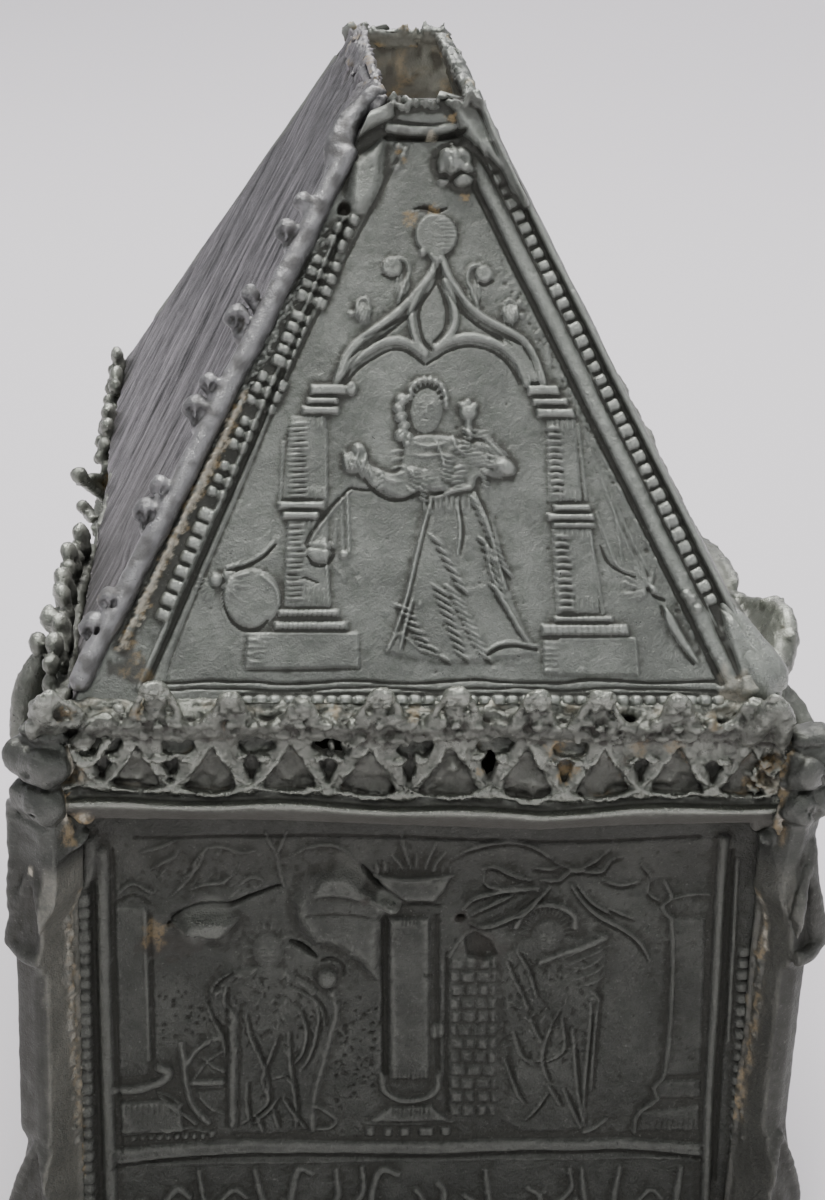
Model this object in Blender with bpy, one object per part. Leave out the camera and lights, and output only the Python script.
# Chrismatory: a small house-shaped casket of cast pewter plates soldered edge to edge.
# Metres, +Z up, origin in the middle of the underside; the decorated short end faces -Y.
# The box is hollow and open upward; the hipped lid (four sloping plates standing on four
# openwork cresting strips) rests on the walls and lifts off. The ridge of the lid is broken open.

import math

import bmesh
import bpy
from mathutils import Matrix, Vector
from mathutils.geometry import tessellate_polygon

for old in list(bpy.data.objects):
    bpy.data.objects.remove(old, do_unlink=True)

MM = 0.001

# ---------------------------------------------------------------- driving dimensions, in mm
PLATE = 2.0  # thickness of a cast plate without its relief
GAP = 0.3  # soldered joint between two castings
BODY_X = 38.5  # half width of the box over its walls
BODY_Y = 62.1  # half length of the box over its walls
WALL_TOP = 62.6  # top edge of the walls
EAVE_Z = 80.0  # level of the eaves, where the roof plates start
EAVE_X = 38.0  # half width of the roof at the eaves
EAVE_Y = 62.7  # half length of the roof at the eaves
RISE = 56.8  # eaves to ridge
RIDGE_X = 5.9  # half width of the broken-open ridge
RIDGE_Y = 25.8  # half length of the broken-open ridge
SKIRT = 1.4  # how far the roof plates reach below the eaves line
TOP_THIN = 0.5  # part of the plate's thickness that is left at the broken ridge
CREST_T = 2.0  # thickness of the cresting
CREST_BOTTOM = WALL_TOP + GAP
CREST_PITCH = 8.1  # one leaf of the cresting
BAR_H = 4.0  # moulding bar at the foot of the cresting
BAR_OUT = 1.5  # how far that bar stands out from the cresting
HIP_ROLL_R = 1.35  # round roll on the near left hip
BAND_TOP = 18.6  # rail above the inscription band
BASE_H = 7.0  # base moulding of the walls
FLOOR_T = 2.2
LAP = 0.5  # how far a buttress laps over the face of a wall

X, Y, Z = Vector((1, 0, 0)), Vector((0, 1, 0)), Vector((0, 0, 1))


class Face:
    """A sloping or upright face: a along it, s up it, h out of it, all in mm."""

    def __init__(self, origin, along, up, out):
        self.o, self.a, self.s, self.n = origin, along.normalized(), up.normalized(), out.normalized()

    def at(self, a, s, h):
        return self.o + self.a * a + self.s * s + self.n * h


SIDES = {
    "front": (X, Y, EAVE_X, EAVE_Y, RIDGE_X, EAVE_Y - RIDGE_Y),
    "right": (Y, -X, EAVE_Y, EAVE_X, RIDGE_Y, EAVE_X - RIDGE_X),
    "back": (-X, -Y, EAVE_X, EAVE_Y, RIDGE_X, EAVE_Y - RIDGE_Y),
    "left": (-Y, X, EAVE_Y, EAVE_X, RIDGE_Y, EAVE_X - RIDGE_X),
}


def roof_face(side):
    along, inward, _, reach, _, run = SIDES[side]
    origin = -inward * reach + Z * EAVE_Z
    return Face(origin, along, inward * run + Z * RISE, -inward * RISE + Z * run)


def wall_face(side):
    along, inward, _, _, _, _ = SIDES[side]
    reach = BODY_Y if side in ("front", "back") else BODY_X
    return Face(-inward * reach, along, Z, -inward)


def slant(side):
    return math.hypot(SIDES[side][5], RISE)


# ---------------------------------------------------------------- making and joining solids
def new_object(name, verts, faces):
    mesh = bpy.data.meshes.new(name)
    mesh.from_pydata([tuple(v) for v in verts], [], faces)
    bm = bmesh.new()
    bm.from_mesh(mesh)
    bmesh.ops.recalc_face_normals(bm, faces=bm.faces)
    bm.to_mesh(mesh)
    bm.free()
    obj = bpy.data.objects.new(name, mesh)
    bpy.context.scene.collection.objects.link(obj)
    return obj


def loft(rings):
    """Closed solid through rings of equally many points."""
    n = len(rings[0])
    verts = [p for ring in rings for p in ring]
    faces = []
    for k in range(len(rings) - 1):
        for i in range(n):
            j = (i + 1) % n
            faces.append((k * n + i, k * n + j, (k + 1) * n + j, (k + 1) * n + i))
    faces.append(tuple(range(n)))
    faces.append(tuple((len(rings) - 1) * n + i for i in range(n)))
    return verts, faces


def slab(face, outline, height, inset=0.5, sink=0.7):
    """A raised shape with bevelled flanks over an outline of (a, s) points."""
    ca = sum(p[0] for p in outline) / len(outline)
    cs = sum(p[1] for p in outline) / len(outline)
    ra = max(abs(p[0] - ca) for p in outline)
    rs = max(abs(p[1] - cs) for p in outline)
    ka, ks = max(0.3, 1 - inset / max(ra, 0.01)), max(0.3, 1 - inset / max(rs, 0.01))
    rings = [
        [face.at(a, s, -sink) for a, s in outline],
        [face.at(ca + (a - ca) * ka, cs + (s - cs) * ks, height) for a, s in outline],
    ]
    return loft(rings)


def box(face, a0, a1, s0, s1, height, inset=0.4):
    return slab(face, [(a0, s0), (a1, s0), (a1, s1), (a0, s1)], height, inset)


def dome(face, a, s, ra, rs, height, sides=6, turn=0.0):
    rings = []
    for r, h in ((1.06, -0.7), (0.86, 0.6 * height), (0.4, height)):
        ring = []
        for i in range(sides):
            t = 2 * math.pi * (i + 0.5) / sides
            da, ds = ra * r * math.cos(t), rs * r * math.sin(t)
            ring.append(
                face.at(
                    a + da * math.cos(turn) - ds * math.sin(turn),
                    s + da * math.sin(turn) + ds * math.cos(turn),
                    h,
                )
            )
        rings.append(ring)
    return loft(rings)


def rail(face, points, width, height, sink=0.6):
    """A rounded moulding swept along (a, s) points."""
    rings = []
    for k, (a, s) in enumerate(points):
        p0 = points[max(k - 1, 0)]
        p1 = points[min(k + 1, len(points) - 1)]
        da, ds = p1[0] - p0[0], p1[1] - p0[1]
        size = math.hypot(da, ds)
        na, ns = -ds / size, da / size
        ring = []
        for off, h in ((-0.62, -sink), (-0.26, height), (0.26, height), (0.62, -sink)):
            ring.append(face.at(a + na * off * width, s + ns * off * width, h))
        rings.append(ring)
    return loft(rings)


def robed(face, a, s, tall, width, height, folds=3, arc=8):
    """A standing figure in a long fluted robe: skirt, waist and shoulders."""
    levels = (
        (0.0, 1.0, 0.8),
        (0.4, 0.66, 0.85),
        (0.6, 0.52, 0.95),
        (0.84, 0.64, 1.0),
    )
    rings = []
    for level, wide, high in levels:
        fold = max(0.0, 1 - level / 0.6)
        ring = []
        for i in range(arc):
            t = math.pi * i / (arc - 1)
            wave = 1 + 0.2 * fold * math.cos(2 * folds * t)
            ring.append(
                face.at(
                    a + 0.5 * width * wide * math.cos(t),
                    s + tall * level,
                    height * high * (0.25 + 0.75 * math.sin(t)) * wave,
                )
            )
        ring.append(face.at(a - 0.5 * width * wide, s + tall * level, -0.7))
        ring.append(face.at(a + 0.5 * width * wide, s + tall * level, -0.7))
        rings.append(ring)
    return loft(rings)


def pewter(name, tone):
    mat = bpy.data.materials.new("pewter_" + name)
    mat.use_nodes = True
    shader = mat.node_tree.nodes["Principled BSDF"]
    shader.inputs["Base Color"].default_value = (0.30 * tone, 0.31 * tone, 0.29 * tone, 1)
    shader.inputs["Metallic"].default_value = 0.85
    shader.inputs["Roughness"].default_value = 0.42
    mat.diffuse_color = (0.30 * tone, 0.31 * tone, 0.29 * tone, 1)
    return mat


def join(name, base, pieces, tone=1.0, cut=()):
    """One casting: the base solid with its relief united to it, and the cutters taken away."""
    body = new_object(name, *base)
    helpers = []
    for k, (piece, how) in enumerate([(p, "UNION") for p in pieces] + [(p, "DIFFERENCE") for p in cut]):
        # each piece of relief sits a few hundredths of a millimetre off, so no two faces coincide
        nudge = Vector((0.013 * (k % 7), 0.011 * (k % 5), 0.017 * (k % 11)))
        helper = new_object(f"{name}_helper_{k}", [Vector(v) + nudge for v in piece[0]], piece[1])
        helper.hide_render = True
        helper.display_type = "WIRE"
        helpers.append(helper)
        mod = body.modifiers.new(f"relief_{k}", "BOOLEAN")
        mod.operation = how
        mod.solver = "EXACT"
        mod.object = helper
    bpy.context.view_layer.update()
    if helpers:
        graph = bpy.context.evaluated_depsgraph_get()
        cast = bpy.data.meshes.new_from_object(body.evaluated_get(graph))
        body.modifiers.clear()
        body.data = cast
        for helper in helpers:
            bpy.data.objects.remove(helper, do_unlink=True)
    body.data.name = name
    body.data.transform(Matrix.Scale(MM, 4))
    body.data.materials.clear()
    body.data.materials.append(pewter(name, tone))
    body.data.shade_smooth()
    body.data.set_sharp_from_angle(angle=math.radians(38))
    return body


# ---------------------------------------------------------------- roof plates
def half_at(side, z):
    """Half length of a roof face along the eaves direction at height z above the eaves."""
    _, _, eave, _, ridge, _ = SIDES[side]
    return eave - (eave - ridge) * z / RISE


def neighbour(side):
    return "right" if side in ("front", "back") else "front"


def roof_plate(side, setback_low=0.0, setback_high=0.0, ragged=()):
    """A hip-roof plate with mitred edges. ragged lists how far the broken top edge stands
    above (+) or below (-) the ridge level at even steps along it."""
    along, inward, eave, reach, ridge, run = SIDES[side]
    out_s, own = slant(neighbour(side)), slant(side)
    inset_a = PLATE * out_s / RISE  # inner corner, measured along the eaves
    depth = PLATE * own / RISE  # inner face, measured inward at one level
    trim = 0.24

    def point(a, z, inner):
        back = run * z / RISE + depth * inner
        return -inward * (reach - back) + along * a + Z * (EAVE_Z + z)

    verts, faces = [], []
    tops = list(ragged) or [0.0, 0.0]
    n = len(tops)
    lo = -SKIRT
    w0 = half_at(side, lo)
    # outer low edge, outer high edge, then the same on the inner face
    verts.append(point(-w0 + trim + setback_low, lo, 0.0))
    verts.append(point(w0 - trim - setback_high, lo, 0.0))
    for i, up in enumerate(tops):
        w1 = half_at(side, RISE + up)
        a = -w1 + trim + setback_low + (2 * w1 - 2 * trim - setback_low - setback_high) * i / (n - 1)
        verts.append(point(a, RISE + up, 0.0))
    k = len(verts)
    verts.append(point(-w0 + inset_a + trim, lo, 1.0))
    verts.append(point(w0 - inset_a - trim, lo, 1.0))
    for i, up in enumerate(tops):
        span = half_at(side, RISE + up) - inset_a * TOP_THIN - trim
        verts.append(point(-span + 2 * span * i / (n - 1), RISE + up, TOP_THIN))
    outer_top = [2 + i for i in range(n)]
    inner_top = [k + 2 + i for i in range(n)]
    faces.append((0, 1, *reversed(outer_top)))
    faces.append((k, *inner_top, k + 1))
    faces.append((0, k, k + 1, 1))
    faces.append((0, outer_top[0], inner_top[0], k))
    faces.append((1, k + 1, inner_top[-1], outer_top[-1]))
    for i in range(n - 1):
        faces.append((outer_top[i], outer_top[i + 1], inner_top[i + 1], inner_top[i]))
    return verts, faces


def hip_lines(side, offset, s0, s1):
    """Points on both sloping borders of a roof face, a given distance in from the hip."""
    _, _, eave, _, ridge, _ = SIDES[side]
    length = slant(side)
    lean = (eave - ridge) / length

    def a_at(s):
        return eave - lean * s - offset

    return [(-a_at(s0), s0), (-a_at(s1), s1)], [(a_at(s0), s0), (a_at(s1), s1)]


def column(face, a, s, tall, wide, lean=0.0):
    """A column in relief: plinth, base rolls, shaft with a middle band, and a two-band capital."""
    out = []
    for lo, hi, w, h in (
        (0.00, 0.13, 1.75, 1.0),
        (0.13, 0.19, 1.45, 1.35),
        (0.18, 0.92, 1.0, 0.9),
        (0.53, 0.585, 1.28, 1.25),
        (0.915, 1.0, 1.45, 1.4),
    ):
        x0 = a + lean * lo
        x1 = a + lean * hi
        half = 0.5 * wide * w
        s0, s1 = s + tall * lo - 0.05, s + tall * hi + 0.05
        out.append(slab(face, [(x0 - half, s0), (x0 + half, s0), (x1 + half, s1), (x1 - half, s1)], h, 0.35))
    return out


def arc_points(a0, a1, s0, rise, n=5, power=0.8):
    """A pointed or round arch from (a0, s0) to (a1, s0)."""
    pts = []
    for i in range(n + 1):
        t = i / n
        pts.append((a0 + (a1 - a0) * t, s0 + rise * math.sin(math.pi * t) ** power))
    return pts


def ogee(a0, s0, a1, s1, n=5):
    """A reversed curve from the springing (a0, s0) up to the point (a1, s1)."""
    pts = []
    for i in range(n + 1):
        t = i / n
        sweep = t + 0.13 * math.sin(2 * math.pi * t)
        pts.append((a0 + (a1 - a0) * t, s0 + (s1 - s0) * (t * t * 0.45 + 0.55 * sweep)))
    return pts


END_BREAK = (0.4, -0.9, 0.2, -0.6, 0.5)
SIDE_BREAK = (0.6, -0.5, 1.2, -1.0, 0.9, 1.6, -0.3, 0.8, -1.2, 0.4)


def end_roof_relief(face, side, figure=True):
    """Borders, columns, ogee arch with finial, and the figure swinging a censer."""
    length = slant(side)
    parts = []
    for offset, width, height in ((2.75, 1.5, 1.1), (4.75, 1.7, 1.3)):
        low, high = hip_lines(side, offset, 0.9, length - 2.6)
        parts.append(rail(face, low, width, height))
        parts.append(rail(face, high, width, height))
    parts.append(rail(face, [(-28.5, 0.2), (28.5, 0.2)], 1.6, 0.7))
    # plinths, columns
    parts += column(face, -12.8, 3.0, 31.6, 4.9, lean=-0.6)
    parts += column(face, 13.7, 3.0, 31.6, 4.9, lean=-0.2)
    # arch: ogee hood with a finial, cusped inner arch
    parts.append(rail(face, ogee(-10.6, 35.4, 1.0, 48.8), 1.3, 0.95))
    parts.append(rail(face, ogee(12.6, 35.4, 1.2, 48.8), 1.3, 0.95))
    parts.append(rail(face, arc_points(-10.2, 0.4, 35.0, 3.8, 4), 1.1, 0.7))
    parts.append(rail(face, arc_points(0.8, 12.0, 35.0, 3.8, 4), 1.1, 0.66))
    parts.append(dome(face, 1.0, 51.9, 2.5, 2.6, 1.5, 9))
    for a, s in ((-4.0, 47.6), (5.8, 47.0)) if figure else ():
        parts.append(dome(face, a, s, 1.3, 1.3, 1.0, 5))
    # top bar and boss under the break
    parts.append(rail(face, [(-4.2, 64.2), (4.4, 64.2)], 1.6, 1.6))
    parts.append(dome(face, 3.1, 60.1, 2.6, 2.9, 2.9, 8))
    # sun disc and leaf in the corners
    parts.append(dome(face, -19.5, 9.9, 3.4, 3.6, 0.8, 8))
    parts.append(dome(face, 22.6, 10.4, 2.6, 2.6, 0.9, 8))
    if figure:
        parts.append(robed(face, 3.0, 4.2, 30.5, 15.5, 1.6, folds=4, arc=10))
        parts.append(dome(face, -0.2, 31.4, 2.5, 3.1, 1.9, 7))
        parts.append(rail(face, [(-2.2, 25.4), (-5.6, 22.2), (-9.6, 24.6)], 2.2, 1.5))
        parts.append(rail(face, [(4.4, 26.4), (9.2, 24.6), (5.2, 31.2)], 2.4, 1.7))
        parts.append(dome(face, -13.0, 15.2, 1.5, 1.6, 1.4, 8))
        parts.append(rail(face, [(-9.4, 23.2), (-10.6, 21.0), (-12.4, 16.4)], 0.7, 1.2))
    else:
        parts.append(robed(face, 0.6, 4.2, 30.5, 13.5, 1.6, folds=2, arc=6))
        parts.append(dome(face, 0.6, 31.2, 2.4, 3.0, 1.9, 7))
    return parts


def add_end_roof(side, figure, setback_low=0.0, setback_high=0.0, tone=1.0):
    face = roof_face(side)
    base = roof_plate(side, setback_low, setback_high, ragged=END_BREAK)
    return join("roof_panel_" + side, base, end_roof_relief(face, side, figure), tone)


def hip_roll(side, radius, sides=10):
    """Round bar laid along the hip at the high-a end of a side face, from eaves to ridge."""
    along, inward, eave, reach, ridge, run = SIDES[side]
    low = -inward * reach + along * eave + Z * EAVE_Z
    high = -inward * (reach - run) + along * ridge + Z * (EAVE_Z + RISE)
    axis = (high - low).normalized()
    out = (-inward + along * 0.9 + Z * 0.7)
    out = (out - axis * out.dot(axis)).normalized()
    across = axis.cross(out)
    rings = []
    for t in (0.012, 0.5, 0.965):
        centre = low.lerp(high, t)
        rings.append(
            [
                centre + (out * math.cos(2 * math.pi * i / sides) + across * math.sin(2 * math.pi * i / sides)) * radius
                for i in range(sides)
            ]
        )
    return loft(rings)


def crocket(face, a, s, size, tilt):
    """A leaf knob: a bent lump standing on the slope beside the hip roll."""
    rings = []
    for r, h, lift in ((0.6, -0.8, 0.0), (0.95, 1.5, 0.5), (0.4, 2.8, 0.9)):
        rings.append(
            [
                face.at(
                    a + size * (r * math.cos(2 * math.pi * i / 6) + lift * math.cos(tilt)),
                    s + size * (r * math.sin(2 * math.pi * i / 6) + lift * math.sin(tilt)),
                    h * size,
                )
                for i in range(6)
            ]
        )
    return loft(rings)


def add_side_roof(side, with_roll, tone):
    face = roof_face(side)
    length = slant(side)
    pieces = []
    if with_roll:
        pieces.append(hip_roll(side, HIP_ROLL_R))
        _, _, eave, _, ridge, _ = SIDES[side]
        for k in range(5):
            s = 6.5 + k * 12.6
            a = eave - (eave - ridge) * s / length - 2.9
            pieces.append(crocket(face, a, s, 1.25, 0.6))
            pieces.append(crocket(face, a + 1.4, s - 3.6, 1.25, 0.9))
    for offset, width, height in ((2.2, 1.4, 0.7),):
        low, high = hip_lines(side, offset, 1.2, length - 3.0)
        pieces.append(rail(face, low, width, height))
        if not with_roll:
            pieces.append(rail(face, high, width, height))
    # thickened lip where the ridge cresting broke away
    pieces.append(rail(face, [(-RIDGE_Y + 1.5, length - 1.9), (0, length - 2.2), (RIDGE_Y - 1.5, length - 1.9)], 2.2, 1.2))
    return join("roof_panel_" + side, roof_plate(side, ragged=SIDE_BREAK), pieces, tone)


# ---------------------------------------------------------------- walls
def wall_plate(side, half, bottom=0.0):
    face = wall_face(side)
    rings = []
    for h in (-PLATE, 0.0):
        rings.append([face.at(-half, bottom, h), face.at(half, bottom, h), face.at(half, WALL_TOP, h), face.at(-half, WALL_TOP, h)])
    return loft(rings)


def wall_frame(face, half, clear):
    """Rails and base that every wall has: borders, ground rail, base moulding."""
    parts = [
        rail(face, [(-half + 3.6, BASE_H - 0.4), (-half + 3.6, WALL_TOP - 0.8)], 1.4, 1.0),
        rail(face, [(half - 3.6, BASE_H - 0.4), (half - 3.6, WALL_TOP - 0.8)], 1.4, 1.0),
        rail(face, [(-half + 1.75, BASE_H - 0.4), (-half + 1.75, WALL_TOP - 3.4)], 1.1, 0.6),
        rail(face, [(half - 1.75, BASE_H - 0.4), (half - 1.75, WALL_TOP - 3.4)], 1.1, 0.6),
        rail(face, [(-half + 3.9, BAND_TOP + 1.2), (half - 3.9, BAND_TOP + 1.2)], 2.2, 0.8),
    ]
    lo, hi = -half + clear, half - clear
    profile = [(-0.8, 0.0), (1.6, 0.0), (1.6, 3.2), (1.1, 4.0), (1.1, 5.2), (0.4, BASE_H), (-0.8, BASE_H)]
    parts.append(loft([[face.at(a, s, h) for h, s in profile] for a in (lo, hi)]))
    return parts


def wheel(face, a, s, r):
    """A spoked wheel in relief: a rim in two halves and two crossed spokes."""

    def rim(t0, t1):
        return [(a + r * math.cos(t0 + (t1 - t0) * i / 4), s + r * math.sin(t0 + (t1 - t0) * i / 4)) for i in range(5)]

    return [
        rail(face, rim(0.3, 3.5), 1.1, 0.9),
        rail(face, rim(3.4, 6.7), 1.0, 0.82),
        rail(face, [(a - r * 0.9, s + 0.2), (a + r * 0.93, s - 0.1)], 0.9, 0.7),
        rail(face, [(a - 0.1, s - r * 0.93), (a + 0.1, s + r * 0.9)], 0.8, 0.6),
    ]


def end_wall_relief(face, side):
    parts = wall_frame(face, BODY_X, 3.4)
    # middle column with its dentil base and fan leaf, and the two pilasters
    parts += [
        box(face, -5.6, 4.8, 21.6, 25.0, 1.2),
        box(face, -3.8, 3.6, 26.0, 28.6, 1.5, 0.7),
        box(face, -2.8, 2.0, 28.2, 54.0, 1.0, 0.7),
        box(face, -5.4, 3.6, 54.0, 58.4, 1.5, 0.8),
        dome(face, -0.8, 60.4, 2.4, 1.6, 1.0, 8),
        box(face, -34.0, -30.4, 31.0, 55.0, 0.9),
        box(face, -34.0, -28.6, 22.6, 31.4, 1.2),
        box(face, 28.6, 33.4, 31.0, 55.0, 0.9),
        box(face, 27.0, 33.4, 22.6, 31.4, 1.2),
    ]
    parts.append(rail(face, arc_points(-30.6, -5.0, 54.6, 5.0, 6, 0.7), 1.3, 0.9))
    parts.append(rail(face, arc_points(4.0, 29.0, 54.6, 5.0, 6, 0.7), 1.3, 0.9))
    if side == "front":
        parts.append(robed(face, -15.2, 22.0, 30.5, 11.5, 1.5, folds=3, arc=9))
        parts.append(dome(face, -15.0, 50.0, 1.9, 2.5, 1.6, 7))
        parts += wheel(face, -24.2, 31.0, 4.4)
        parts.append(rail(face, [(-20.6, 24.0), (-20.2, 46.5)], 1.3, 1.2))
        parts.append(rail(face, [(-11.0, 44.0), (-8.2, 38.5), (-10.6, 33.0)], 1.6, 1.1))
        parts.append(robed(face, 17.2, 22.0, 30.5, 11.5, 1.5, folds=3, arc=9))
        parts.append(dome(face, 17.0, 50.0, 1.9, 2.5, 1.6, 7))
        parts.append(box(face, 4.6, 9.8, 26.0, 42.0, 1.1))
        parts.append(slab(face, [(4.2, 41.8), (10.2, 41.8), (7.2, 46.6)], 1.1))
        # dents and lifted metal at the top of the left bay
        parts.append(dome(face, -22.6, 53.2, 4.2, 1.7, 2.2, 8, 0.2))
        parts.append(slab(face, [(-13.6, 49.6), (-9.0, 56.8), (-3.0, 56.0), (-2.2, 53.8), (-6.4, 51.2), (-9.4, 50.4)], 1.7, 0.6))
        parts.append(dome(face, -10.4, 46.0, 1.5, 1.3, 2.0, 8))
    else:
        for a in (-17.4, 16.8):
            parts.append(robed(face, a, 22.0, 29.5, 11.0, 1.4, folds=2, arc=6))
            parts.append(dome(face, a, 49.4, 1.9, 2.5, 1.5, 7))
    return parts


def side_wall_relief(face, half, bays=4):
    parts = wall_frame(face, half, 3.2)
    lo, hi = -half + 6.8, half - 6.8
    step = (hi - lo) / bays
    for k in range(bays + 1):
        a = lo + step * k
        parts.append(box(face, a - 1.5, a + 1.5, 24.6, 54.2, 0.9, 0.5))
        parts.append(box(face, a - 2.4, a + 2.4, 21.6, 25.0, 1.2))
        parts.append(box(face, a - 2.3, a + 2.3, 53.8, 56.4, 1.3))
    for k in range(bays):
        a = lo + step * (k + 0.5)
        parts.append(rail(face, arc_points(a - step / 2 + 1.8, a + step / 2 - 1.8, 54.8, 4.6, 4, 0.7), 1.2, 0.9))
        parts.append(robed(face, a, 22.0, 29.0, 10.5, 1.4, folds=2, arc=6))
        parts.append(dome(face, a, 49.2, 1.9, 2.5, 1.5, 6))
    return parts


# ---------------------------------------------------------------- cresting
def crest_outline(half, pitch):
    """Top edge of the openwork: a trefoil leaf over each pitch; and the drop-shaped holes."""
    count = round(2 * half / pitch)
    step = 2 * half / count
    foot = CREST_BOTTOM + BAR_H - 0.8
    top = [(half, foot)]
    holes = []
    for k in range(count - 1, -1, -1):
        mid = -half + step * (k + 0.5)
        top += [
            (mid + step * 0.24, EAVE_Z - 0.8),
            (mid + step * 0.10, EAVE_Z + 1.5),
            (mid - step * 0.10, EAVE_Z + 1.5),
            (mid - step * 0.24, EAVE_Z - 0.8),
        ]
        if k:
            top.append((mid - step * 0.5, EAVE_Z - 3.2))
            a = -half + step * k
            holes.append(
                [
                    (a - 1.7, EAVE_Z - 4.8),
                    (a, EAVE_Z - 10.4),
                    (a + 1.7, EAVE_Z - 4.8),
                    (a, EAVE_Z - 4.3),
                ]
            )
    top.append((-half, foot))
    return top, holes


def lean(z):
    """How far the leaves bend outward towards their tips."""
    return 0.055 * max(0.0, z - (EAVE_Z - 7.5)) ** 1.75


def crest_strip(side, half, base_out):
    """Upright openwork strip; base_out is where its back face stands, from the middle."""
    along, inward, *_ = SIDES[side]
    out = -inward
    top, holes = crest_outline(half - 0.15, CREST_PITCH)
    loops = [top] + holes
    flat = [Vector((a, s, 0)) for loop in loops for a, s in loop]
    tris = tessellate_polygon([[Vector((a, s, 0)) for a, s in loop] for loop in loops])
    verts = []
    for layer in (0.12, CREST_T):
        for p in flat:
            verts.append(along * p.x + out * (base_out + layer + lean(p.y)) + Z * p.y)
    n = len(flat)
    faces = [tuple(t) for t in tris] + [tuple(n + i for i in reversed(t)) for t in tris]
    start = 0
    for loop in loops:
        m = len(loop)
        for i in range(m):
            j = (i + 1) % m
            faces.append((start + i, start + j, n + start + j, n + start + i))
        start += m
    return verts, faces


def crest_bar(side, half, base_out):
    along, inward, *_ = SIDES[side]
    out = -inward
    h = BAR_H
    profile = [(0.0, 0.0), (CREST_T + 0.3, 0.0), (CREST_T + BAR_OUT, 0.9), (CREST_T + BAR_OUT, h * 0.55), (CREST_T + 0.4, h), (0.0, h)]
    rings = []
    for a in (-half, half):
        rings.append([along * a + out * (base_out + o) + Z * (CREST_BOTTOM + z) for o, z in profile])
    return loft(rings)


def add_crest(side, half, base_out, tone):
    return join("cresting_" + side, crest_bar(side, half, base_out), [crest_strip(side, half, base_out)], tone)


# ---------------------------------------------------------------- corner buttresses
def buttress(name, sx, sy, tone, tall=True):
    """Diagonal buttress hugging a corner of the box. r runs outward along the diagonal and
    t across it; the back is notched over the two walls up to their top. The tall ones end in a
    capital of two rolls beside the cresting; the others are slimmer and stop under it."""
    root2 = math.sqrt(2)
    levels = [
        # z, half width, reach, half width of the front face, hugging the walls
        (0.0, 3.6, 7.4, 2.9, True),
        (3.2, 3.6, 7.4, 2.9, True),
        (4.0, 3.0, 6.7, 2.3, True),
        (12.6, 3.0, 6.7, 2.3, True),
        (13.6, 3.8, 7.8, 3.1, True),
    ]
    if tall:
        levels += [
            (24.4, 2.5, 6.2, 0.25, True),
            (25.4, 2.45, 6.1, 1.75, True),
            (47.6, 2.4, 6.1, 1.7, True),
            (49.6, 3.3, 7.4, 2.7, True),
            (59.8, 2.3, 5.9, 0.25, True),
            (62.0, 2.2, 5.8, 1.5, True),
            (62.3, 2.2, 5.8, 1.5, False),
            (66.0, 2.3, 6.0, 1.6, False),
            (67.6, 3.2, 7.2, 2.4, False),
            (70.5, 2.7, 6.5, 2.0, False),
            (72.8, 3.3, 7.3, 2.5, False),
            (75.2, 2.3, 6.2, 1.5, False),
        ]
    else:
        levels += [
            (24.4, 2.5, 4.7, 0.25, True),
            (25.4, 2.45, 4.6, 1.75, True),
            (47.6, 2.4, 4.5, 1.7, True),
            (49.6, 2.9, 5.0, 2.3, True),
            (57.6, 2.3, 4.2, 0.25, True),
            (61.8, 2.2, 3.6, 1.2, True),
        ]
    rings = []
    for z, half, reach, front, hugs in levels:
        if hugs:
            notch = (GAP * root2, 0.0)
            flange = (-(LAP - GAP) / root2, (LAP + GAP) / root2)
            edge = (0.5, max(2.1, half * 0.85))
            flank = (reach - (half - front) - 0.15, half)
        else:
            notch = (4.35, 0.0)
            flange = (4.35, half * 0.4)
            edge = (4.4, half * 0.92)
            flank = (reach - (half - front) - 0.15, half)
        tip = (reach, front)
        half_ring = [flange, edge, flank, tip]
        ring = [notch] + half_ring + [(r, -t) for r, t in reversed(half_ring)]
        rings.append(
            [
                Vector(
                    (
                        sx * (BODY_X + (r + t) / root2),
                        sy * (BODY_Y + (r - t) / root2),
                        z,
                    )
                )
                for r, t in ring
            ]
        )
    return join(name, loft(rings), [], tone)


# ---------------------------------------------------------------- the object
inner_x, inner_y = BODY_X - PLATE - GAP, BODY_Y - PLATE - GAP
join(
    "floor_plate",
    loft([[Vector((sx * inner_x, sy * inner_y, z)) for sx, sy in ((-1, -1), (1, -1), (1, 1), (-1, 1))] for z in (0.0, FLOOR_T)]),
    [],
    0.8,
)

for side in ("front", "back"):
    join("end_wall_" + side, wall_plate(side, BODY_X), end_wall_relief(wall_face(side), side), 0.85)
side_half = BODY_Y - PLATE - GAP
for side in ("left", "right"):
    join("side_wall_" + side, wall_plate(side, side_half), side_wall_relief(wall_face(side), side_half), 0.9)

for name, sx, sy in (
    ("corner_buttress_front_left", -1, -1),
    ("corner_buttress_front_right", 1, -1),
    ("corner_buttress_back_left", -1, 1),
    ("corner_buttress_back_right", 1, 1),
):
    buttress(name, sx, sy, 1.0, tall=sy < 0)

crest_reach_end = EAVE_Y + GAP
crest_reach_side = EAVE_X + GAP
for side in ("front", "back"):
    add_crest(side, 39.9, crest_reach_end, 0.95)
for side in ("left", "right"):
    add_crest(side, EAVE_Y, crest_reach_side, 0.95)

add_end_roof("front", True, setback_low=2.1)
add_end_roof("back", False, setback_high=0.0, tone=0.95)
add_side_roof("left", True, 0.9)
add_side_roof("right", False, 0.95)
